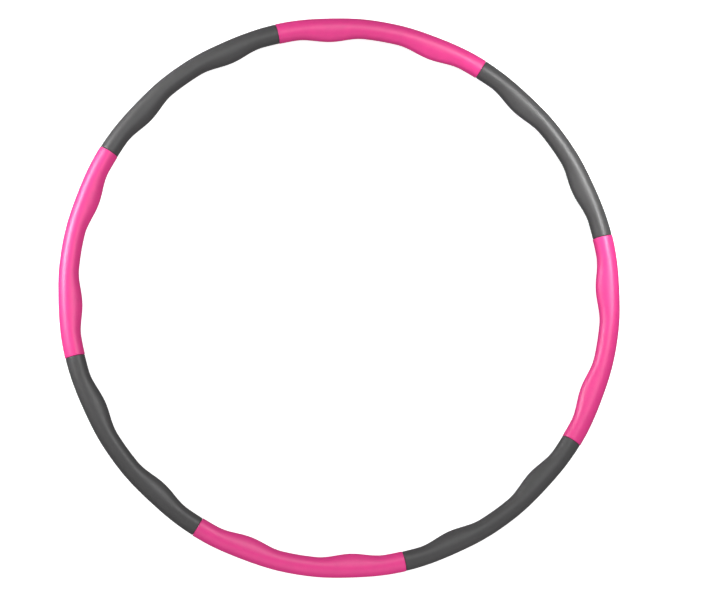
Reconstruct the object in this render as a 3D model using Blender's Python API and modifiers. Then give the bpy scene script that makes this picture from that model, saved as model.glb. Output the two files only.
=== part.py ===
"""Sectional exercise hoop.

Eight padded sections plug into each other and make one ring. Each section is a bent steel tube in a
moulded foam sleeve with two swells on its inner side. One end of the tube is an open socket. The other
end holds a spigot with a sprung snap button, which clicks into a hole in the next section's socket.

Units are metres. +Z is up, the hoop lies flat, and the origin is on the floor under its centre.
A section is modelled with its middle on +X, its socket at the clockwise end and its spigot at the
anticlockwise end, and the eight copies are turned about Z.
"""

import math

import bmesh
import bpy
from mathutils import Matrix, Vector

# The ring
SECTIONS = 8
SECTION_ANGLE = 360 / SECTIONS
HALF_SECTION = SECTION_ANGLE / 2
FIRST_SECTION_ANGLE = -90  # where the middle of section 1 is, from +X
OUTER_RADIUS = 0.475
JOINT_GAP = 0.0003  # between the foam faces of neighbouring sections

# Foam sleeve
PINK_SLEEVE = (0.0168, 0.0171)  # radius at the middle, and at the ends
GREY_SLEEVE = (0.0160, 0.0165)
END_FLARE_ANGLE = 7.0
SWELL_HEIGHT = 0.0075
SWELL_ANGLE = 15.2  # full length of one swell, as an angle of the ring
SWELL_OFFSET = SECTION_ANGLE / 4  # from the section's middle
OUTER_DIP = 0.0009  # the outer side is this much lower behind a swell
END_ROUNDING = 0.0012
SLEEVE_STATIONS = 23
RING_POINTS = 16

# Steel core tube
CORE_RADIUS = 0.0090
CORE_WALL = 0.0008
CORE_LINE_RADIUS = OUTER_RADIUS - PINK_SLEEVE[0]
STRAIGHT_END_ANGLE = 4.5  # the angle of the ring that each straight tube end spans
BEND_STEPS = 6
CORE_END_SETBACK = 0.0006
FOAM_GAP = 0.0003  # between the tube and the foam glued round it
CENTRE_HEIGHT = PINK_SLEEVE[1]

# Spigot: one leg is pinned in its own tube, the other plugs into the next one
SPIGOT_RADIUS = 0.0078
SPIGOT_WALL = 0.0008
SPIGOT_LEG = 0.030
SPIGOT_TAPER_LENGTH = 0.0018
SPIGOT_TAPER = 0.92
PIN_RADIUS = 0.0015
PIN_HOLE_RADIUS = 0.0018
PIN_HALF_LENGTH = 0.0087
PIN_SETBACK = 0.019  # from the joint

# Snap button and its V spring
BUTTON_SETBACK = 0.015  # from the joint
BUTTON_RADIUS = 0.0030
BUTTON_TOP = 0.0105  # from the tube's centreline, like the next two
BUTTON_FLANGE_TOP = 0.0053
BUTTON_FLANGE_BOTTOM = 0.0046
BUTTON_FLANGE_RADIUS = 0.0038
BUTTON_DOME = 0.0019
SPIGOT_HOLE_RADIUS = 0.0033
SOCKET_HOLE_RADIUS = 0.0034
FINGER_HOLE_RADIUS = 0.0060
SPRING_WIDTH = 0.005
SPRING_THICKNESS = 0.0005
SPRING_BUTTON_GAP = 0.0003
SPRING_PAD_HALF_LENGTH = 0.004  # the flat part of the leg under the button
SPRING_FOLD_SETBACK = 0.0055  # behind the joint
SPRING_FOLD_RADIUS = 0.0011
SPRING_FOLD_HEIGHT = -0.0018
SPRING_BACK_HEIGHT = -0.0057

ROUND_SIDES = 16
PIN_SIDES = 10
TUBE_BEVEL_RESOLUTION = 6  # sixteen sides
SMOOTH_ANGLE = math.radians(35)

PINK = (0.77, 0.034, 0.245, 1)
GREY = (0.056, 0.055, 0.056, 1)
ZINC = (0.56, 0.57, 0.58, 1)
SPRING_STEEL = (0.33, 0.34, 0.36, 1)


def clear_scene():
    for old in list(bpy.data.objects):
        bpy.data.objects.remove(old)


def new_collection(name):
    collection = bpy.data.collections.new(name)
    bpy.context.scene.collection.children.link(collection)
    return collection


def make_material(name, colour, roughness, metallic):
    material = bpy.data.materials.new(name)
    material.use_nodes = True
    shader = material.node_tree.nodes["Principled BSDF"]
    shader.inputs["Base Color"].default_value = colour
    shader.inputs["Roughness"].default_value = roughness
    shader.inputs["Metallic"].default_value = metallic
    return material


def on_ring(angle, radius=CORE_LINE_RADIUS, height=CENTRE_HEIGHT):
    """A point at that angle of the ring, in degrees from +X."""
    turn = math.radians(angle)
    return Vector((radius * math.cos(turn), radius * math.sin(turn), height))


# Where the straight tube ends lie: from a joint to the first bend
SOCKET_MOUTH = on_ring(-HALF_SECTION)
SOCKET_AXIS = (on_ring(STRAIGHT_END_ANGLE - HALF_SECTION) - SOCKET_MOUTH).normalized()
SPIGOT_JOINT = on_ring(HALF_SECTION)
OWN_END_AXIS = (SPIGOT_JOINT - on_ring(HALF_SECTION - STRAIGHT_END_ANGLE)).normalized()
PLUG_AXIS = (on_ring(HALF_SECTION + STRAIGHT_END_ANGLE) - SPIGOT_JOINT).normalized()


def core_line(end_setback):
    """The tube's centreline: a straight end, even bends round the ring, and a straight end."""
    bent = HALF_SECTION - STRAIGHT_END_ANGLE
    bends = [on_ring(bent * (2 * step / BEND_STEPS - 1)) for step in range(BEND_STEPS + 1)]
    first = SOCKET_MOUTH + SOCKET_AXIS * end_setback
    last = SPIGOT_JOINT - OWN_END_AXIS * end_setback
    return [first, *bends, last]


def baked(source, name):
    """The object's evaluated shape as a plain mesh, welded, with the source removed."""
    bpy.context.view_layer.update()
    evaluated = source.evaluated_get(bpy.context.evaluated_depsgraph_get())
    mesh = bpy.data.meshes.new_from_object(evaluated)
    mesh.transform(source.matrix_world)
    mesh.name = name
    bm = bmesh.new()
    bm.from_mesh(mesh)
    bmesh.ops.remove_doubles(bm, verts=bm.verts, dist=1e-6)
    bmesh.ops.recalc_face_normals(bm, faces=bm.faces)
    bm.to_mesh(mesh)
    bm.free()
    bpy.data.objects.remove(source)
    return mesh


def placed(name, mesh, collection):
    made = bpy.data.objects.new(name, mesh)
    collection.objects.link(made)
    return made


def pipe_mesh(name, points, radius, wall, collection, point_radii=None):
    """A hollow tube with open ends along the points, or a solid bar if wall is None."""
    curve = bpy.data.curves.new(name, "CURVE")
    curve.dimensions = "3D"
    curve.twist_mode = "Z_UP"
    curve.bevel_depth = radius
    curve.bevel_resolution = TUBE_BEVEL_RESOLUTION
    curve.use_fill_caps = wall is None
    spline = curve.splines.new("POLY")
    spline.points.add(len(points) - 1)
    for number, point in enumerate(points):
        spline.points[number].co = (*point, 1)
        spline.points[number].radius = point_radii[number] if point_radii else 1
    made = placed(name, curve, collection)
    if wall is not None:
        shell = made.modifiers.new("Wall", "SOLIDIFY")
        shell.thickness = wall
        shell.offset = -1
        shell.use_even_offset = True
    return baked(made, name)


def add_cutter(name, start, end, radius, collection, sides=ROUND_SIDES):
    """A round bar from start to end, for cutting a hole."""
    bpy.ops.mesh.primitive_cylinder_add(vertices=sides, radius=radius, depth=(end - start).length)
    cutter = bpy.context.object
    cutter.name = name
    turn = (end - start).to_track_quat("Z", "Y").to_matrix().to_4x4()
    cutter.matrix_world = Matrix.Translation((start + end) / 2) @ turn
    for other in list(cutter.users_collection):
        other.objects.unlink(cutter)
    collection.objects.link(cutter)
    cutter.hide_render = True
    cutter.display_type = "WIRE"
    return cutter


def cut_mesh(mesh, cutters, collection):
    """The mesh with each cutter's hole in it."""
    body = placed(mesh.name + "_uncut", mesh, collection)
    for cutter in cutters:
        hole = body.modifiers.new(cutter.name, "BOOLEAN")
        hole.operation = "DIFFERENCE"
        hole.object = cutter
    return baked(body, mesh.name)


# ---------------------------------------------------------------- foam sleeve


def swell_share(angle):
    """How far up the nearest swell this angle is, from 0 to 1."""
    distance = abs(abs(angle) - SWELL_OFFSET)
    if distance >= SWELL_ANGLE / 2:
        return 0.0
    return math.cos(math.pi * distance / SWELL_ANGLE) ** 2


def flare_share(angle):
    """1 at the section's ends, falling smoothly to 0."""
    inward = min(1.0, (HALF_SECTION - abs(angle)) / END_FLARE_ANGLE)
    return 0.5 + 0.5 * math.cos(math.pi * inward)


def sleeve_ring(radii, angle, inset):
    """The sleeve's outline in the plane through the hoop's axis at that angle, shrunk by inset.

    The outer half is an ellipse about the tube, and the inner half a longer one where there is a swell.
    """
    middle_radius, end_radius = radii
    half_height = middle_radius + (end_radius - middle_radius) * flare_share(angle)
    swell = swell_share(angle)
    outer = half_height - OUTER_DIP * swell
    inner = half_height + SWELL_HEIGHT * swell
    ring = []
    for point in range(RING_POINTS):
        turn = 2 * math.pi * point / RING_POINTS
        reach = (outer if math.cos(turn) > 0 else inner) - inset
        radius = CORE_LINE_RADIUS + reach * math.cos(turn)
        height = CENTRE_HEIGHT + (half_height - inset) * math.sin(turn)
        ring.append(on_ring(angle, radius, height))
    return ring


def sleeve_stations():
    """(angle, inset) of each outline along the sleeve, with rounded edges at both ends."""
    length_angle = math.degrees(1 / CORE_LINE_RADIUS)
    end = HALF_SECTION - JOINT_GAP / 2 * length_angle
    rounding = END_ROUNDING * length_angle
    half_way = 1 - math.sqrt(0.5)
    body_end = end - rounding
    body = [body_end * (2 * step / (SLEEVE_STATIONS - 1) - 1) for step in range(SLEEVE_STATIONS)]
    start = [(-end, END_ROUNDING), (-end + rounding * half_way, END_ROUNDING * half_way)]
    finish = [(-angle, inset) for angle, inset in reversed(start)]
    return start + [(angle, 0.0) for angle in body] + finish


def solid_sleeve_mesh(name, radii):
    """The sleeve before its bore is cut: a loft through the outlines, closed at both ends."""
    bm = bmesh.new()
    rings = []
    for angle, inset in sleeve_stations():
        rings.append([bm.verts.new(point) for point in sleeve_ring(radii, angle, inset)])
    for ring, following in zip(rings, rings[1:]):
        for side in range(RING_POINTS):
            after = (side + 1) % RING_POINTS
            bm.faces.new((ring[side], ring[after], following[after], following[side]))
    bm.faces.new(rings[0])
    bm.faces.new(rings[-1])
    bmesh.ops.recalc_face_normals(bm, faces=bm.faces)
    mesh = bpy.data.meshes.new(name)
    bm.to_mesh(mesh)
    bm.free()
    return mesh


def foam_sleeve_mesh(name, radii, cutters):
    past_the_ends = -0.003
    bar = pipe_mesh("bore_cutter", core_line(past_the_ends), CORE_RADIUS + FOAM_GAP, None, cutters)
    bore = placed("bore_cutter", bar, cutters)
    bore.hide_render = True
    bore.display_type = "WIRE"
    button = SOCKET_MOUTH + SOCKET_AXIS * BUTTON_SETBACK
    below = Vector((0, 0, -2 * CENTRE_HEIGHT))
    finger_hole = add_cutter("finger_hole_cutter", button, button + below, FINGER_HOLE_RADIUS, cutters)
    return cut_mesh(solid_sleeve_mesh(name, radii), [bore, finger_hole], cutters)


# ---------------------------------------------------------------- steel parts


def core_tube_mesh(cutters):
    tube = pipe_mesh("core_tube", core_line(CORE_END_SETBACK), CORE_RADIUS, CORE_WALL, cutters)
    button = SOCKET_MOUTH + SOCKET_AXIS * BUTTON_SETBACK
    below = Vector((0, 0, -2 * CORE_RADIUS))
    button_hole = add_cutter("socket_hole_cutter", button, button + below, SOCKET_HOLE_RADIUS, cutters)
    return cut_mesh(tube, [button_hole, pin_hole_cutter("tube_pin_cutter", cutters)], cutters)


def pin_hole_cutter(name, cutters):
    across = Vector((0, 0, 2 * CORE_RADIUS))
    middle = SPIGOT_JOINT - OWN_END_AXIS * PIN_SETBACK
    return add_cutter(name, middle - across, middle + across, PIN_HOLE_RADIUS, cutters, PIN_SIDES)


def spigot_mesh(cutters):
    """A tube with two straight legs that meet at the joint, tapered at the end that plugs in."""
    root = SPIGOT_JOINT - OWN_END_AXIS * SPIGOT_LEG
    tip = SPIGOT_JOINT + PLUG_AXIS * SPIGOT_LEG
    line = [root, SPIGOT_JOINT, tip - PLUG_AXIS * SPIGOT_TAPER_LENGTH, tip]
    tube = pipe_mesh("spigot", line, SPIGOT_RADIUS, SPIGOT_WALL, cutters, [1, 1, 1, SPIGOT_TAPER])
    button = SPIGOT_JOINT + PLUG_AXIS * BUTTON_SETBACK
    below = Vector((0, 0, -2 * SPIGOT_RADIUS))
    button_hole = add_cutter("spigot_hole_cutter", button, button + below, SPIGOT_HOLE_RADIUS, cutters)
    return cut_mesh(tube, [button_hole, pin_hole_cutter("spigot_pin_cutter", cutters)], cutters)


def spigot_pin_mesh():
    """The cross pin that holds the spigot in its own tube."""
    bpy.ops.mesh.primitive_cylinder_add(vertices=PIN_SIDES, radius=PIN_RADIUS, depth=2 * PIN_HALF_LENGTH)
    pin = bpy.context.object
    pin.location = SPIGOT_JOINT - OWN_END_AXIS * PIN_SETBACK
    return baked(pin, "spigot_pin")


def snap_button_mesh(collection):
    """A domed stud with a flange, turned about its own axis. It points down from the tube's centreline."""
    shoulder = BUTTON_TOP - BUTTON_DOME
    dome = []
    dome_steps = 3
    for step in range(dome_steps + 1):
        turn = math.pi / 2 * step / dome_steps
        dome.append((BUTTON_RADIUS * math.sin(turn), shoulder + BUTTON_DOME * math.cos(turn)))
    flange = [
        (BUTTON_RADIUS, BUTTON_FLANGE_TOP),
        (BUTTON_FLANGE_RADIUS, BUTTON_FLANGE_TOP),
        (BUTTON_FLANGE_RADIUS, BUTTON_FLANGE_BOTTOM),
        (0, BUTTON_FLANGE_BOTTOM),
    ]
    profile = [Vector((radius, 0, height)) for radius, height in dome + flange]
    mesh = bpy.data.meshes.new("button_profile")
    mesh.from_pydata(profile, [(step, step + 1) for step in range(len(profile) - 1)], [])
    turned = placed("button_profile", mesh, collection)
    screw = turned.modifiers.new("Turn", "SCREW")
    screw.steps = ROUND_SIDES
    screw.render_steps = ROUND_SIDES
    screw.use_merge_vertices = True
    screw.merge_threshold = 1e-6
    mesh = baked(turned, "snap_button")
    mesh.transform(Matrix.Rotation(math.pi, 4, "X"))
    return mesh


def button_spring_mesh(collection):
    """A strip folded into a V. One leg carries the button and the other rests on the spigot's far wall.

    Distances along the strip's line are from the joint along the plug's axis, and heights are towards
    the button from the tube's centreline.
    """
    under_button = BUTTON_FLANGE_BOTTOM - SPRING_BUTTON_GAP - SPRING_THICKNESS / 2
    fold = []
    fold_steps = 4
    for step in range(fold_steps + 1):
        turn = math.pi * step / fold_steps
        along = -SPRING_FOLD_SETBACK - SPRING_FOLD_RADIUS * math.sin(turn)
        fold.append((along, SPRING_FOLD_HEIGHT + SPRING_FOLD_RADIUS * math.cos(turn)))
    leg_end = BUTTON_SETBACK + SPRING_PAD_HALF_LENGTH
    free_leg = [(leg_end, under_button), (BUTTON_SETBACK - SPRING_PAD_HALF_LENGTH, under_button)]
    back_leg = [(leg_end, SPRING_BACK_HEIGHT)]
    curve = bpy.data.curves.new("button_spring", "CURVE")
    curve.dimensions = "2D"
    curve.fill_mode = "NONE"
    curve.extrude = SPRING_WIDTH / 2
    line = free_leg + fold + back_leg
    spline = curve.splines.new("POLY")
    spline.points.add(len(line) - 1)
    for number, (along, height) in enumerate(line):
        spline.points[number].co = (along, -height, 0, 1)
    strip = placed("button_spring", curve, collection)
    sheet = strip.modifiers.new("Thickness", "SOLIDIFY")
    sheet.thickness = SPRING_THICKNESS
    sheet.offset = 0
    # The curve's X runs along the plug, its Y up, and its width across
    across = PLUG_AXIS.cross(Vector((0, 0, 1)))
    turn = Matrix((PLUG_AXIS, Vector((0, 0, 1)), across)).transposed().to_4x4()
    strip.matrix_world = Matrix.Translation(SPIGOT_JOINT) @ turn
    return baked(strip, "button_spring")


# ---------------------------------------------------------------- the hoop


def shade(mesh, material):
    mesh.materials.clear()
    mesh.materials.append(material)
    mesh.shade_smooth()
    mesh.set_sharp_from_angle(angle=SMOOTH_ANGLE)


def main():
    clear_scene()
    hoop = new_collection("exercise_hoop")
    cutters = new_collection("cutters")
    pink = make_material("pink_foam", PINK, 0.45, 0.0)
    grey = make_material("grey_foam", GREY, 0.45, 0.0)
    zinc = make_material("zinc_steel", ZINC, 0.32, 1.0)
    spring_steel = make_material("spring_steel", SPRING_STEEL, 0.35, 1.0)

    steel_meshes = {
        "core_tube": core_tube_mesh(cutters),
        "spigot": spigot_mesh(cutters),
        "spigot_pin": spigot_pin_mesh(),
        "snap_button": snap_button_mesh(cutters),
        "button_spring": button_spring_mesh(cutters),
    }
    for name, mesh in steel_meshes.items():
        shade(mesh, spring_steel if name == "button_spring" else zinc)
    pink_sleeve = foam_sleeve_mesh("pink_foam_sleeve", PINK_SLEEVE, cutters)
    shade(pink_sleeve, pink)
    grey_sleeve = foam_sleeve_mesh("grey_foam_sleeve", GREY_SLEEVE, cutters)
    shade(grey_sleeve, grey)

    button_place = SPIGOT_JOINT + PLUG_AXIS * BUTTON_SETBACK
    for number in range(SECTIONS):
        turn = FIRST_SECTION_ANGLE + number * SECTION_ANGLE
        frame = bpy.data.objects.new(f"section_{number + 1}", None)
        frame.rotation_euler.z = math.radians(turn)
        hoop.objects.link(frame)
        sleeve = grey_sleeve if number % 2 else pink_sleeve
        meshes = {"foam_sleeve": sleeve, **steel_meshes}
        for name, mesh in meshes.items():
            piece = placed(f"{name}_{number + 1}", mesh, hoop)
            piece.parent = frame
            if name == "snap_button":
                piece.location = button_place


main()
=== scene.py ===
"""The looks of the sectional exercise hoop.

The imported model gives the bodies, the hoop's size and the snap buttons' places. Each plain foam sleeve is
replaced by a fine one with the same shape: a skinned sleeve with rounded ends, a cut-cell face at each end,
a bore for its tube and a finger hole over its snap button. The steel pieces, which show in the finger holes
and when the sections are pulled apart, are replaced by fine ones in the same places.

Units are metres, +Z is up, and the hoop lies flat. Distances not taken from the model repeat the CAD's own.
"""

import math

import bmesh
import bpy
from mathutils import Matrix, Vector, noise

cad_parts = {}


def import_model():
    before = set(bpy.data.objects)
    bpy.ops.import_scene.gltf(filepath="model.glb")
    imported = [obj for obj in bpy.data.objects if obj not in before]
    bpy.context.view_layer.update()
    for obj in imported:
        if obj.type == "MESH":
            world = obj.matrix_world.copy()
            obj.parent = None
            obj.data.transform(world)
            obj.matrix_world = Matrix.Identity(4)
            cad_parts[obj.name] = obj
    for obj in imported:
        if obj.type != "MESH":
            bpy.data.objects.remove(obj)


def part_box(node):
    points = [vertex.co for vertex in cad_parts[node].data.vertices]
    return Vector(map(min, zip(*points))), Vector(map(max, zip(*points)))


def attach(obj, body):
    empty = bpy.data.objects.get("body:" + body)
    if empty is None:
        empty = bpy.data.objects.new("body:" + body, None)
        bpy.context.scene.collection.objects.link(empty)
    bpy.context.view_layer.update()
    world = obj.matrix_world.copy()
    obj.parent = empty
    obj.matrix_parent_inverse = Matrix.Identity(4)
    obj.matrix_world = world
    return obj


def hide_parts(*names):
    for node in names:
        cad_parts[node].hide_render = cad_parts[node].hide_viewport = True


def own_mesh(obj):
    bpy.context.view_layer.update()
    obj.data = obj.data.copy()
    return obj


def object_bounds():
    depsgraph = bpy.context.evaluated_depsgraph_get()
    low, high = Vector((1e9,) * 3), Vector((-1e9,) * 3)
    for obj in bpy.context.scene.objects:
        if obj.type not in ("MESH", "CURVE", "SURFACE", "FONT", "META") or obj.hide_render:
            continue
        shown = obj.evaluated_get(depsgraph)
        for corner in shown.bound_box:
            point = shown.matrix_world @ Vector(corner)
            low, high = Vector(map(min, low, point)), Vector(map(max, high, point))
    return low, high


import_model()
CAD_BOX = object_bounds()

# The ring, from the frame: the hoop is round, centred on the axis, and thickest at its joints
SECTIONS = 8
SECTION_ANGLE = 360 / SECTIONS
HALF_SECTION = SECTION_ANGLE / 2
FIRST_SECTION_ANGLE = -90
OUTER_RADIUS = CAD_BOX[1].x
CENTRE_HEIGHT = (CAD_BOX[1].z - CAD_BOX[0].z) / 2

# The sleeves' shape. Each pair is the radius at the middle and at the ends
PINK_SLEEVE = (0.0168, 0.0171)
GREY_SLEEVE = (0.0160, 0.0165)
LINE_RADIUS = OUTER_RADIUS - PINK_SLEEVE[0]
JOINT_GAP = 0.0003
END_FLARE_ANGLE = 7.0
SWELL_HEIGHT = 0.0075
SWELL_ANGLE = 15.2
SWELL_OFFSET = SECTION_ANGLE / 4
OUTER_DIP = 0.0009
END_ROUNDING = 0.0012
ROUNDING_STEPS = 5
OUTLINE_POINTS = 72
BODY_STATIONS = 151
BORE_STATIONS = 41
UNEVENNESS = 0.00010  # how far the skin wanders from its exact shape
UNEVEN_LENGTH = 0.030
MICRO_UNEVENNESS = 0.00002
MICRO_LENGTH = 0.006
FINGER_HOLE_RADIUS = 0.0060
FINGER_HOLE_LIP = 0.0012
LIP_STEPS = 8
FINGER_HOLE_SIDES = 96

# The core tube and the spigot
CORE_RADIUS = 0.0090
CORE_WALL = 0.0008
CORE_END_SETBACK = 0.0006
FOAM_GAP = 0.0003
STRAIGHT_END_ANGLE = 4.5
BEND_STEPS = 6
SPIGOT_RADIUS = 0.0078
SPIGOT_WALL = 0.0008
SPIGOT_LEG = 0.030
SPIGOT_BEND = 0.004  # how far the bend at the joint reaches along each leg
SPIGOT_BEND_STEPS = 6
NOSE_LENGTH = 0.0018
NOSE_SHARE = 0.92  # the tip's radius, as a share of the spigot's
NOSE_STEPS = 6
TUBE_CHAMFER = 0.0002
TUBE_SIDES = 72

# The cross pin, the snap button and its spring. Heights are towards the button from the tube's centreline
PIN_RADIUS = 0.0015
PIN_HALF_LENGTH = 0.0087
PIN_CHAMFER = 0.0003
PIN_HOLE_RADIUS = 0.0018
PIN_SETBACK = 0.019
BUTTON_SETBACK = 0.015
BUTTON_RADIUS = 0.0030
BUTTON_TOP = 0.0105
BUTTON_DOME = 0.0019
BUTTON_FLANGE_TOP = 0.0053
BUTTON_FLANGE_BOTTOM = 0.0046
BUTTON_FLANGE_RADIUS = 0.0038
DOME_STEPS = 12
SPIGOT_HOLE_RADIUS = 0.0033
SOCKET_HOLE_RADIUS = 0.0034
SPRING_WIDTH = 0.005
SPRING_THICKNESS = 0.0005
SPRING_BUTTON_GAP = 0.0003
SPRING_PAD_HALF_LENGTH = 0.004
SPRING_FOLD_SETBACK = 0.0055
SPRING_FOLD_RADIUS = 0.0011
SPRING_FOLD_HEIGHT = -0.0018
SPRING_BACK_HEIGHT = -0.0057
SPRING_FOLD_STEPS = 16
STRIP_END_STEPS = 6
TURNED_SIDES = 48

# The camera and the lights are placed by azimuth and elevation, in degrees, from the hoop's centre
CAMERA_AZIMUTH = 241.5
CAMERA_ELEVATION = 80.48
CAMERA_DISTANCE = 10.0
CAMERA_UP_AZIMUTH = 98.99
CAMERA_LENS = 302.9
CAMERA_SHIFT = (0.0187, -0.0050)

FLOOR_GAP = 0.0004
FLOOR_SIZE = 30.0
FULL_SPREAD = 180

PINK = (0.77, 0.034, 0.245, 1)
GREY = (0.059, 0.058, 0.059, 1)


# ---------------------------------------------------------------- small helpers


def direction(azimuth, elevation):
    """The unit vector at that azimuth from +X and elevation above the floor, in degrees."""
    a, e = math.radians(azimuth), math.radians(elevation)
    return Vector((math.cos(a) * math.cos(e), math.sin(a) * math.cos(e), math.sin(e)))


def on_ring(angle, radius=LINE_RADIUS, height=CENTRE_HEIGHT):
    """A point at that angle of the ring, in degrees from +X."""
    turn = math.radians(angle)
    return Vector((radius * math.cos(turn), radius * math.sin(turn), height))


def section_turn(number):
    """The angle of the middle of that section, from +X."""
    return FIRST_SECTION_ANGLE + (number - 1) * SECTION_ANGLE


# In a section's own frame its middle is on +X. The tube is straight from each joint to its first bend
UP = Vector((0, 0, 1))
SOCKET_MOUTH = on_ring(-HALF_SECTION)
SOCKET_AXIS = (on_ring(STRAIGHT_END_ANGLE - HALF_SECTION) - SOCKET_MOUTH).normalized()
JOINT = on_ring(HALF_SECTION)
OWN_END_AXIS = (JOINT - on_ring(HALF_SECTION - STRAIGHT_END_ANGLE)).normalized()
PLUG_AXIS = (on_ring(HALF_SECTION + STRAIGHT_END_ANGLE) - JOINT).normalized()


def link(obj):
    bpy.context.scene.collection.objects.link(obj)
    return obj


def mesh_object(name, bm):
    mesh = bpy.data.meshes.new(name)
    bm.to_mesh(mesh)
    bm.free()
    return link(bpy.data.objects.new(name, mesh))


def bridge(bm, ring, following, material_index=0):
    """Faces between two rings with the same number of points."""
    count = len(ring)
    for side in range(count):
        after = (side + 1) % count
        face = bm.faces.new((ring[side], ring[after], following[after], following[side]))
        face.material_index = material_index


def lathe(name, profile, place=Vector((0, 0, 0)), sides=TURNED_SIDES):
    """A solid turned about the upright line through place. The profile is (radius, height), end to end."""
    bm = bmesh.new()
    verts = [bm.verts.new((radius, 0, height)) for radius, height in profile]
    edges = [bm.edges.new(pair) for pair in zip(verts, verts[1:])]
    bmesh.ops.spin(
        bm,
        geom=verts + edges,
        cent=(0, 0, 0),
        axis=UP,
        angle=2 * math.pi,
        steps=sides,
        use_merge=True,
    )
    bmesh.ops.remove_doubles(bm, verts=bm.verts, dist=1e-6)
    bmesh.ops.translate(bm, verts=bm.verts, vec=(place.x, place.y, 0))
    bmesh.ops.recalc_face_normals(bm, faces=bm.faces)
    return mesh_object(name, bm)


def apply_modifiers(obj):
    bpy.context.view_layer.update()
    evaluated = obj.evaluated_get(bpy.context.evaluated_depsgraph_get())
    mesh = bpy.data.meshes.new_from_object(evaluated)
    obj.modifiers.clear()
    obj.data = mesh


def cut(obj, cutters):
    """Cuts each cutter's shape out of the object, and removes the cutters."""
    for cutter in cutters:
        hole = obj.modifiers.new(cutter.name, "BOOLEAN")
        hole.operation = "DIFFERENCE"
        hole.object = cutter
    apply_modifiers(obj)
    for cutter in cutters:
        bpy.data.objects.remove(cutter)


def smooth(obj, angle=35):
    obj.data.shade_smooth()
    obj.data.set_sharp_from_angle(angle=math.radians(angle))


# ---------------------------------------------------------------- materials


class Nodes:
    """A material's node tree, with short ways to add and join nodes."""

    def __init__(self, name):
        self.material = bpy.data.materials.new(name)
        self.material.use_nodes = True
        self.tree = self.material.node_tree
        self.shader = self.tree.nodes["Principled BSDF"]
        self.place = self.add("ShaderNodeTexCoord").outputs["Object"]

    def add(self, kind, **settings):
        node = self.tree.nodes.new(kind)
        for key, value in settings.items():
            setattr(node, key, value)
        return node

    def join(self, output, socket):
        self.tree.links.new(output, socket)

    def noise(self, scale, detail=2.0, roughness=0.5, place=None):
        node = self.add("ShaderNodeTexNoise")
        node.inputs["Scale"].default_value = scale
        node.inputs["Detail"].default_value = detail
        node.inputs["Roughness"].default_value = roughness
        self.join(place or self.place, node.inputs["Vector"])
        return node.outputs["Fac"]

    def cells(self, scale, feature="F1"):
        node = self.add("ShaderNodeTexVoronoi", feature=feature)
        node.inputs["Scale"].default_value = scale
        self.join(self.place, node.inputs["Vector"])
        return node.outputs["Distance"]

    def to_range(self, value, low, high, from_low=0.0, from_high=1.0):
        node = self.add("ShaderNodeMapRange")
        node.inputs["From Min"].default_value = from_low
        node.inputs["From Max"].default_value = from_high
        node.inputs["To Min"].default_value = low
        node.inputs["To Max"].default_value = high
        self.join(value, node.inputs["Value"])
        return node.outputs["Result"]

    def mix(self, share, first, second):
        node = self.add("ShaderNodeMix", data_type="RGBA")
        self.join(share, node.inputs["Factor"])
        for socket, value in ((node.inputs["A"], first), (node.inputs["B"], second)):
            if isinstance(value, bpy.types.NodeSocket):
                self.join(value, socket)
            else:
                socket.default_value = value
        return node.outputs["Result"]

    def bump(self, height, strength, distance, below=None):
        node = self.add("ShaderNodeBump")
        node.inputs["Strength"].default_value = strength
        node.inputs["Distance"].default_value = distance
        self.join(height, node.inputs["Height"])
        if below is not None:
            self.join(below, node.inputs["Normal"])
        return node.outputs["Normal"]


def shaded(colour, share):
    """The colour made lighter, or darker if share is below 1."""
    return tuple(min(1.0, part * share) for part in colour[:3]) + (1,)


def foam_skin(name, colour, specular):
    """The moulded foam's closed skin: satin, finely grained, with faint cloudy patches."""
    nodes = Nodes(name)
    clouds = nodes.noise(55.0, 3.0, 0.55)
    flecks = nodes.noise(900.0, 2.0, 0.6)
    cloud_share = nodes.to_range(clouds, 0.0, 1.0, 0.3, 0.7)
    cloudy = nodes.mix(cloud_share, shaded(colour, 0.955), shaded(colour, 1.03))
    fleck_share = nodes.to_range(flecks, 0.0, 0.22, 0.50, 0.78)
    nodes.join(nodes.mix(fleck_share, cloudy, shaded(colour, 0.72)), nodes.shader.inputs["Base Color"])
    nodes.shader.inputs["Specular IOR Level"].default_value = specular
    rough = nodes.to_range(nodes.noise(140.0, 3.0), 0.42, 0.48, 0.3, 0.7)
    nodes.join(rough, nodes.shader.inputs["Roughness"])
    grain = nodes.bump(nodes.noise(1400.0, 3.0, 0.6), 0.28, 0.00012)
    peel = nodes.bump(nodes.noise(260.0, 2.0, 0.5), 0.22, 0.0003, grain)
    nodes.join(peel, nodes.shader.inputs["Normal"])
    return nodes.material


def foam_cut(name, colour):
    """The foam's open cells where it is cut: matt and finely pitted, with painted shade darkening each pit.
    """
    nodes = Nodes(name)
    cells = nodes.cells(1500.0)
    big_cells = nodes.cells(620.0)
    # Painted shade: the colour darkens towards each cell's pit, standing in for the shade in the hollows.
    painted_pit_shade = nodes.to_range(cells, 0.0, 1.0, 0.08, 0.5)
    nodes.join(nodes.mix(painted_pit_shade, shaded(colour, 0.45), shaded(colour, 1.05)), nodes.shader.inputs["Base Color"])
    nodes.shader.inputs["Roughness"].default_value = 0.85
    small = nodes.bump(cells, 0.7, 0.0005)
    nodes.join(nodes.bump(big_cells, 0.5, 0.0006, small), nodes.shader.inputs["Normal"])
    return nodes.material


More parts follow.
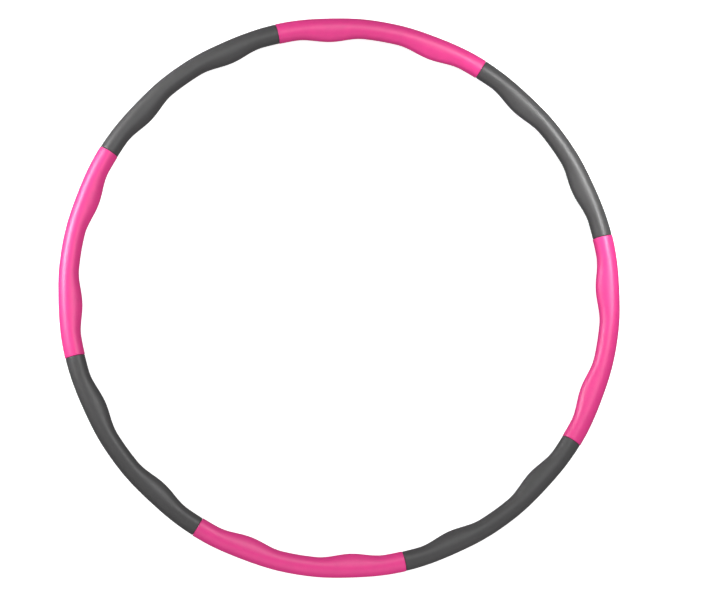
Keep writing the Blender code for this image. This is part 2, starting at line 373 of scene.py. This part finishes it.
def along_ring(nodes):
    """Object coordinates unrolled: from the hoop's axis, along the ring and up, in metres."""
    flat = nodes.add("ShaderNodeSeparateXYZ")
    nodes.join(nodes.place, flat.inputs[0])
    outward = nodes.add("ShaderNodeVectorMath", operation="LENGTH")
    level = nodes.add("ShaderNodeCombineXYZ")
    turn = nodes.add("ShaderNodeMath", operation="ARCTAN2")
    unrolled = nodes.add("ShaderNodeCombineXYZ")
    nodes.join(flat.outputs["X"], level.inputs["X"])
    nodes.join(flat.outputs["Y"], level.inputs["Y"])
    nodes.join(level.outputs[0], outward.inputs[0])
    nodes.join(flat.outputs["Y"], turn.inputs[0])
    nodes.join(flat.outputs["X"], turn.inputs[1])
    nodes.join(outward.outputs["Value"], unrolled.inputs["X"])
    nodes.join(turn.outputs[0], unrolled.inputs["Y"])
    nodes.join(flat.outputs["Z"], unrolled.inputs["Z"])
    return unrolled.outputs[0]


def steel(name, colour, roughness):
    """Plated steel with fine drawn lines along the tube, and slightly cloudy plating."""
    nodes = Nodes(name)
    nodes.shader.inputs["Metallic"].default_value = 1.0
    stretch = nodes.add("ShaderNodeMapping")
    stretch.inputs["Scale"].default_value = (1, 0.02, 1)
    nodes.join(along_ring(nodes), stretch.inputs["Vector"])
    lines = nodes.noise(2200.0, 3.0, 0.6, stretch.outputs["Vector"])
    patches = nodes.noise(160.0, 3.0, 0.6)
    tone = nodes.mix(nodes.to_range(patches, 0.0, 1.0, 0.3, 0.7), shaded(colour, 0.90), shaded(colour, 1.06))
    nodes.join(tone, nodes.shader.inputs["Base Color"])
    rough = nodes.to_range(lines, roughness * 0.75, roughness * 1.35, 0.3, 0.7)
    nodes.join(rough, nodes.shader.inputs["Roughness"])
    nodes.join(nodes.bump(lines, 0.25, 0.00004), nodes.shader.inputs["Normal"])
    return nodes.material


# ---------------------------------------------------------------- foam sleeves


def swell_share(angle):
    """How far up the nearest swell this angle is, from 0 to 1."""
    distance = abs(abs(angle) - SWELL_OFFSET)
    if distance >= SWELL_ANGLE / 2:
        return 0.0
    return math.cos(math.pi * distance / SWELL_ANGLE) ** 2


def flare_share(angle):
    """1 at the section's ends, falling smoothly to 0."""
    inward = min(1.0, (HALF_SECTION - abs(angle)) / END_FLARE_ANGLE)
    return 0.5 + 0.5 * math.cos(math.pi * inward)


def skin_point(radii, angle, turn, inset, section_middle):
    """A point of the skin: angle is along the section and turn is round the sleeve, 0 at its outer side."""
    half_height = radii[0] + (radii[1] - radii[0]) * flare_share(angle)
    swell = swell_share(angle)
    outer = half_height - OUTER_DIP * swell
    inner = half_height + SWELL_HEIGHT * swell
    reach = (outer if math.cos(turn) > 0 else inner) - inset
    point = on_ring(
        section_middle + angle,
        LINE_RADIUS + reach * math.cos(turn),
        CENTRE_HEIGHT + (half_height - inset) * math.sin(turn),
    )
    outward = (point - on_ring(section_middle + angle)).normalized()
    wander = UNEVENNESS * noise.noise(point / UNEVEN_LENGTH)
    wander += MICRO_UNEVENNESS * noise.noise(point / MICRO_LENGTH)
    calm = 1 - flare_share(angle)
    return point + outward * wander * calm


def core_line_radius(angle):
    """From the hoop's axis to the tube's centreline, which is made of straight pieces."""
    bent = HALF_SECTION - STRAIGHT_END_ANGLE
    if abs(angle) > bent:
        half = STRAIGHT_END_ANGLE / 2
        middle = math.copysign(HALF_SECTION - half, angle)
    else:
        half = bent / BEND_STEPS
        piece = min(BEND_STEPS - 1, int((angle + bent) / (2 * half)))
        middle = (2 * piece + 1) * half - bent
    return LINE_RADIUS * math.cos(math.radians(half)) / math.cos(math.radians(angle - middle))


def bore_ring(bm, angle, section_middle):
    """The bore's outline: round about the tube's centreline."""
    line = core_line_radius(angle)
    radius = CORE_RADIUS + FOAM_GAP
    ring = []
    for point in range(OUTLINE_POINTS):
        turn = 2 * math.pi * point / OUTLINE_POINTS
        height = CENTRE_HEIGHT + radius * math.sin(turn)
        place = on_ring(section_middle + angle, line + radius * math.cos(turn), height)
        ring.append(bm.verts.new(place))
    return ring


def skin_stations():
    """(angle, inset) of each outline, with a quarter-round edge at both ends."""
    per_metre = math.degrees(1 / LINE_RADIUS)
    end = HALF_SECTION - JOINT_GAP / 2 * per_metre
    body_end = end - END_ROUNDING * per_metre
    edge = []
    for step in range(ROUNDING_STEPS):
        turn = math.pi / 2 * step / ROUNDING_STEPS
        back_from_end = END_ROUNDING * (1 - math.cos(turn)) * per_metre
        edge.append((end - back_from_end, END_ROUNDING * (1 - math.sin(turn))))
    body = [body_end * (2 * step / (BODY_STATIONS - 1) - 1) for step in range(BODY_STATIONS)]
    start = [(-angle, inset) for angle, inset in edge]
    return start + [(angle, 0.0) for angle in body] + edge[::-1], end


def sleeve_solid(name, radii, section_middle):
    """The sleeve with its bore: skin, end faces and bore wall. Cut faces have material index 1."""
    bm = bmesh.new()
    stations, end = skin_stations()
    skin = []
    for angle, inset in stations:
        turns = [2 * math.pi * point / OUTLINE_POINTS for point in range(OUTLINE_POINTS)]
        ring = [skin_point(radii, angle, turn, inset, section_middle) for turn in turns]
        skin.append([bm.verts.new(point) for point in ring])
    bore_angles = [end * (2 * step / (BORE_STATIONS - 1) - 1) for step in range(BORE_STATIONS)]
    bore = [bore_ring(bm, angle, section_middle) for angle in bore_angles]
    for ring, following in zip(skin, skin[1:]):
        bridge(bm, ring, following)
    for ring, following in zip(bore, bore[1:]):
        bridge(bm, ring, following, 1)
    bridge(bm, skin[0], bore[0], 1)
    bridge(bm, skin[-1], bore[-1], 1)
    bmesh.ops.recalc_face_normals(bm, faces=bm.faces)
    return mesh_object(name, bm)


def finger_hole_cutter(sleeve_radius, button, materials):
    """A turned cutter with a flared lip, under the button, from the tube's surface out through the skin."""
    skin_height = CENTRE_HEIGHT - sleeve_radius
    profile = [(0.0, CENTRE_HEIGHT), (FINGER_HOLE_RADIUS, CENTRE_HEIGHT)]
    for step in range(LIP_STEPS + 1):
        turn = math.pi / 2 * step / LIP_STEPS
        radius = FINGER_HOLE_RADIUS + FINGER_HOLE_LIP * (1 - math.cos(turn))
        profile.append((radius, skin_height + FINGER_HOLE_LIP * (2 - math.sin(turn))))
    profile.append((FINGER_HOLE_RADIUS + 3 * FINGER_HOLE_LIP, skin_height - FINGER_HOLE_LIP))
    profile.append((0.0, skin_height - FINGER_HOLE_LIP))
    cutter = lathe("finger_hole_cutter", profile, button, FINGER_HOLE_SIDES)
    for material in materials:
        cutter.data.materials.append(material)
    for face in cutter.data.polygons:
        face.material_index = 1
    return cutter


def foam_sleeve(number, materials):
    """Section number's sleeve. The finger hole at its clockwise end is over the section before's button."""
    radii = PINK_SLEEVE if number % 2 else GREY_SLEEVE
    sleeve = sleeve_solid(f"foam_skin_{number}", radii, section_turn(number))
    for material in materials:
        sleeve.data.materials.append(material)
    low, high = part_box(f"snap_button_{(number - 2) % SECTIONS + 1}")
    cut(sleeve, [finger_hole_cutter(radii[0], (low + high) / 2, materials)])
    smooth(sleeve)
    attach(sleeve, f"section_{number}")
    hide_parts(f"foam_sleeve_{number}")


# ---------------------------------------------------------------- steel pieces, in a section's own frame


def tube_ring(bm, centre, forward, radius):
    """A round outline square to the level direction forward."""
    sideways = forward.normalized().cross(UP)
    ring = []
    for side in range(TUBE_SIDES):
        turn = 2 * math.pi * side / TUBE_SIDES
        ring.append(bm.verts.new(centre + radius * (sideways * math.cos(turn) + UP * math.sin(turn))))
    return ring


def hollow_tube(name, line, wall):
    """A tube with open, chamfered ends along a level line of (centre, radius)."""
    centres = [centre for centre, _ in line]
    start = centres[1] - centres[0]
    finish = centres[-1] - centres[-2]
    directions = [start, *(after - before for before, after in zip(centres, centres[2:])), finish]
    stations = [(*point, direction, 0.0) for point, direction in zip(line, directions)]
    stations[0] = (centres[0] + start.normalized() * TUBE_CHAMFER, line[0][1], start, 0.0)
    stations[-1] = (centres[-1] - finish.normalized() * TUBE_CHAMFER, line[-1][1], finish, 0.0)
    stations.insert(0, (*line[0], start, TUBE_CHAMFER))
    stations.append((*line[-1], finish, TUBE_CHAMFER))
    bm = bmesh.new()
    outside = [tube_ring(bm, centre, way, radius - chamfer) for centre, radius, way, chamfer in stations]
    inside = []
    for centre, radius, way, chamfer in stations:
        inside.append(tube_ring(bm, centre, way, radius - wall + chamfer))
    for surface in (outside, inside):
        for ring, following in zip(surface, surface[1:]):
            bridge(bm, ring, following)
    bridge(bm, outside[0], inside[0])
    bridge(bm, outside[-1], inside[-1])
    bmesh.ops.recalc_face_normals(bm, faces=bm.faces)
    return mesh_object(name, bm)


def hole_cutter(place, radius, low, high):
    """An upright bar that cuts a round hole between two heights from the tube's centreline."""
    bottom, top = CENTRE_HEIGHT + low, CENTRE_HEIGHT + high
    return lathe("hole_cutter", [(0, bottom), (radius, bottom), (radius, top), (0, top)], place)


def pin_hole_cutter():
    return hole_cutter(JOINT - OWN_END_AXIS * PIN_SETBACK, PIN_HOLE_RADIUS, -2 * CORE_RADIUS, 2 * CORE_RADIUS)


def core_tube():
    bent = HALF_SECTION - STRAIGHT_END_ANGLE
    bends = [on_ring(bent * (2 * step / BEND_STEPS - 1)) for step in range(BEND_STEPS + 1)]
    first = SOCKET_MOUTH + SOCKET_AXIS * CORE_END_SETBACK
    last = JOINT - OWN_END_AXIS * CORE_END_SETBACK
    tube = hollow_tube("core_tube", [(centre, CORE_RADIUS) for centre in (first, *bends, last)], CORE_WALL)
    button = SOCKET_MOUTH + SOCKET_AXIS * BUTTON_SETBACK
    cut(tube, [hole_cutter(button, SOCKET_HOLE_RADIUS, -2 * CORE_RADIUS, 0), pin_hole_cutter()])
    return tube


def spigot():
    """Two straight legs that meet in a small bend at the joint. The one that plugs in has a rounded nose."""
    line = [(JOINT - OWN_END_AXIS * SPIGOT_LEG, SPIGOT_RADIUS)]
    bend_start = JOINT - OWN_END_AXIS * SPIGOT_BEND
    bend_end = JOINT + PLUG_AXIS * SPIGOT_BEND
    for step in range(SPIGOT_BEND_STEPS + 1):
        share = step / SPIGOT_BEND_STEPS
        centre = bend_start.lerp(JOINT, share).lerp(JOINT.lerp(bend_end, share), share)
        line.append((centre, SPIGOT_RADIUS))
    for step in range(NOSE_STEPS + 1):
        share = step / NOSE_STEPS
        centre = JOINT + PLUG_AXIS * (SPIGOT_LEG - NOSE_LENGTH * (1 - share))
        line.append((centre, SPIGOT_RADIUS * (1 - (1 - NOSE_SHARE) * share**2)))
    tube = hollow_tube("spigot", line, SPIGOT_WALL)
    button = JOINT + PLUG_AXIS * BUTTON_SETBACK
    cut(tube, [hole_cutter(button, SPIGOT_HOLE_RADIUS, -2 * SPIGOT_RADIUS, 0), pin_hole_cutter()])
    return tube


def spigot_pin():
    end = PIN_HALF_LENGTH
    outline = [(0, -end), (PIN_RADIUS - PIN_CHAMFER, -end), (PIN_RADIUS, PIN_CHAMFER - end)]
    profile = outline + [(radius, -height) for radius, height in reversed(outline)]
    raised = [(radius, CENTRE_HEIGHT + height) for radius, height in profile]
    return lathe("spigot_pin", raised, JOINT - OWN_END_AXIS * PIN_SETBACK)


def snap_button():
    """A domed stud that points down, with a flange inside the spigot."""
    profile = []
    for step in range(DOME_STEPS + 1):
        turn = math.pi / 2 * step / DOME_STEPS
        profile.append((BUTTON_RADIUS * math.sin(turn), BUTTON_TOP - BUTTON_DOME * (1 - math.cos(turn))))
    profile.append((BUTTON_RADIUS, BUTTON_FLANGE_TOP))
    profile.append((BUTTON_FLANGE_RADIUS, BUTTON_FLANGE_TOP))
    profile.append((BUTTON_FLANGE_RADIUS, BUTTON_FLANGE_BOTTOM))
    profile.append((0, BUTTON_FLANGE_BOTTOM))
    pointed_down = [(radius, CENTRE_HEIGHT - height) for radius, height in profile]
    return lathe("snap_button", pointed_down, JOINT + PLUG_AXIS * BUTTON_SETBACK)


def spring_line():
    """(distance from the joint, height) along the V: the leg under the button, the fold and the back leg."""
    pad_height = BUTTON_FLANGE_BOTTOM - SPRING_BUTTON_GAP - SPRING_THICKNESS / 2
    leg_end = BUTTON_SETBACK + SPRING_PAD_HALF_LENGTH
    fold = []
    for step in range(SPRING_FOLD_STEPS + 1):
        turn = math.pi * step / SPRING_FOLD_STEPS
        along = -SPRING_FOLD_SETBACK - SPRING_FOLD_RADIUS * math.sin(turn)
        fold.append((along, SPRING_FOLD_HEIGHT + SPRING_FOLD_RADIUS * math.cos(turn)))
    pad_start = BUTTON_SETBACK - SPRING_PAD_HALF_LENGTH
    return [(leg_end, pad_height), (pad_start, pad_height), *fold, (leg_end, SPRING_BACK_HEIGHT)]


def rounded_strip(line):
    """(point, half width) along the line, with the strip's two ends rounded to half circles."""
    half = SPRING_WIDTH / 2
    ends = []
    for tip, inner in ((line[0], line[1]), (line[-1], line[-2])):
        inward = (inner - tip).normalized()
        turns = [math.pi / 2 * step / STRIP_END_STEPS for step in range(1, STRIP_END_STEPS + 1)]
        ends.append([(tip + inward * half * (1 - math.cos(turn)), half * math.sin(turn)) for turn in turns])
    return ends[0] + [(point, half) for point in line[1:-1]] + ends[1][::-1]


def button_spring():
    """A strip folded into a V, in the upright plane through the plug's axis."""
    line = [JOINT + PLUG_AXIS * along - UP * height for along, height in spring_line()]
    stations = rounded_strip(line)
    across = PLUG_AXIS.cross(UP)
    points = [point for point, _ in stations]
    ways = [points[1] - points[0], *(b - a for a, b in zip(points, points[2:])), points[-1] - points[-2]]
    bm = bmesh.new()
    rings = []
    for (point, half_width), way in zip(stations, ways):
        side = across * half_width
        thick = way.normalized().cross(across) * SPRING_THICKNESS / 2
        corners = (side + thick, side - thick, -side - thick, -side + thick)
        rings.append([bm.verts.new(point + corner) for corner in corners])
    for ring, following in zip(rings, rings[1:]):
        bridge(bm, ring, following)
    bm.faces.new(rings[0])
    bm.faces.new(rings[-1])
    bmesh.ops.recalc_face_normals(bm, faces=bm.faces)
    return mesh_object("button_spring", bm)


def put_in_sections(original, kind, body, material):
    """Puts a copy of the steel piece in each section in place of the CAD one, and removes the original."""
    original.data.materials.clear()
    original.data.materials.append(material)
    smooth(original)
    made = []
    for number in range(1, SECTIONS + 1):
        mesh = original.data.copy()
        mesh.transform(Matrix.Rotation(math.radians(section_turn(number)), 4, "Z"))
        piece = link(bpy.data.objects.new(f"steel_{kind}_{number}", mesh))
        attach(piece, f"{body}_{number}")
        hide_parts(f"{kind}_{number}")
        made.append(piece)
    bpy.data.objects.remove(original)
    return made


def steel_pieces():
    tube_zinc = steel("zinc_tube", (0.60, 0.61, 0.62, 1), 0.34)
    put_in_sections(core_tube(), "core_tube", "section", tube_zinc)
    spigot_zinc = steel("zinc_spigot", (0.66, 0.67, 0.68, 1), 0.27)
    put_in_sections(spigot(), "spigot", "section", spigot_zinc)
    pin_zinc = steel("zinc_pin", (0.60, 0.61, 0.62, 1), 0.32)
    put_in_sections(spigot_pin(), "spigot_pin", "section", pin_zinc)
    nickel = steel("nickel_button", (0.72, 0.71, 0.68, 1), 0.24)
    put_in_sections(snap_button(), "snap_button", "button", nickel)
    blued = steel("blued_spring", (0.30, 0.31, 0.34, 1), 0.32)
    springs = put_in_sections(button_spring(), "button_spring", "section", blued)
    for number, spring in enumerate(springs, start=1):
        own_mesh(spring)


# ---------------------------------------------------------------- stage


def camera():
    data = bpy.data.cameras.new("camera")
    data.lens = CAMERA_LENS
    data.sensor_width = 36
    data.shift_x, data.shift_y = CAMERA_SHIFT
    data.clip_end = 100
    obj = link(bpy.data.objects.new("camera", data))
    away = direction(CAMERA_AZIMUTH, CAMERA_ELEVATION)
    up = direction(CAMERA_UP_AZIMUTH, 0)
    right = up.cross(away).normalized()
    up = away.cross(right)
    turn = Matrix((right, up, away)).transposed().to_4x4()
    obj.matrix_world = Matrix.Translation(Vector((0, 0, CENTRE_HEIGHT)) + away * CAMERA_DISTANCE) @ turn
    bpy.context.scene.camera = obj


def softbox(name, azimuth, elevation, distance, size, power, aim=(0, 0, 0), spread=FULL_SPREAD):
    """A rectangular light that faces the aim. size is its width and height. spread is its beam in degrees."""
    data = bpy.data.lights.new(name, "AREA")
    data.shape = "RECTANGLE"
    data.size, data.size_y = size
    data.energy = power
    data.spread = math.radians(spread)
    obj = link(bpy.data.objects.new(name, data))
    place = direction(azimuth, elevation) * distance
    obj.location = place
    obj.rotation_euler = (place - Vector(aim)).to_track_quat("Z", "Y").to_euler()
    obj.visible_camera = False
    return obj


def floor():
    bpy.ops.mesh.primitive_plane_add(size=FLOOR_SIZE)
    obj = bpy.context.object
    obj.name = "floor"
    obj.location.z = CAD_BOX[0].z - FLOOR_GAP
    nodes = Nodes("floor_white")
    nodes.shader.inputs["Base Color"].default_value = (0.8, 0.8, 0.8, 1)
    nodes.shader.inputs["Roughness"].default_value = 0.9
    nodes.shader.inputs["Specular IOR Level"].default_value = 0.0
    nodes.shader.inputs["Emission Color"].default_value = (1, 1, 1, 1)
    nodes.shader.inputs["Emission Strength"].default_value = 0.75
    obj.data.materials.append(nodes.material)
    obj.visible_diffuse = False
    obj.visible_glossy = False


def world():
    made = bpy.data.worlds.new("studio")
    bpy.context.scene.world = made
    made.use_nodes = True
    tree = made.node_tree
    background = tree.nodes["Background"]
    background.inputs["Strength"].default_value = 1.0
    height = tree.nodes.new("ShaderNodeSeparateXYZ")
    tree.links.new(tree.nodes.new("ShaderNodeTexCoord").outputs["Generated"], height.inputs[0])
    ramp = tree.nodes.new("ShaderNodeValToRGB")
    shift = tree.nodes.new("ShaderNodeMapRange")
    shift.inputs["From Min"].default_value = -1
    tree.links.new(height.outputs["Z"], shift.inputs["Value"])
    tree.links.new(shift.outputs["Result"], ramp.inputs["Fac"])
    stops = ramp.color_ramp.elements
    stops[0].position, stops[0].color = 0.44, (0.20, 0.20, 0.20, 1)
    stops[1].position, stops[1].color = 1.0, (0.38, 0.38, 0.38, 1)
    horizon = stops.new(0.52)
    horizon.color = (0.28, 0.28, 0.28, 1)
    tree.links.new(ramp.outputs["Color"], background.inputs["Color"])


def lights():
    """Soft studio light. The fill is left out of reflections, so it adds no broad highlight of its own."""
    softbox("key_softbox", 55, 62, 2.6, (0.85, 0.85), 24)
    fill = softbox("fill_softbox", 284, 30, 2.0, (3.6, 1.4), 25)
    fill.visible_glossy = False
    softbox("streak_softbox", 39, 41, 1.0, (0.44, 0.30), 0.66, on_ring(39), 45)
    softbox("left_softbox", 166, 15, 1.3, (0.74, 0.80), 2.9, on_ring(166, 0.6), 34)


# ---------------------------------------------------------------- the hoop


def main():
    camera()
    floor()
    world()
    lights()
    bpy.context.scene.view_settings.view_transform = "Standard"

    foams = {
        "pink": (foam_skin("pink_foam_skin", PINK, 0.7), foam_cut("pink_foam_cells", PINK)),
        "grey": (foam_skin("grey_foam_skin", GREY, 0.5), foam_cut("grey_foam_cells", GREY)),
    }
    for number in range(1, SECTIONS + 1):
        foam_sleeve(number, foams["pink" if number % 2 else "grey"])
    steel_pieces()


main()
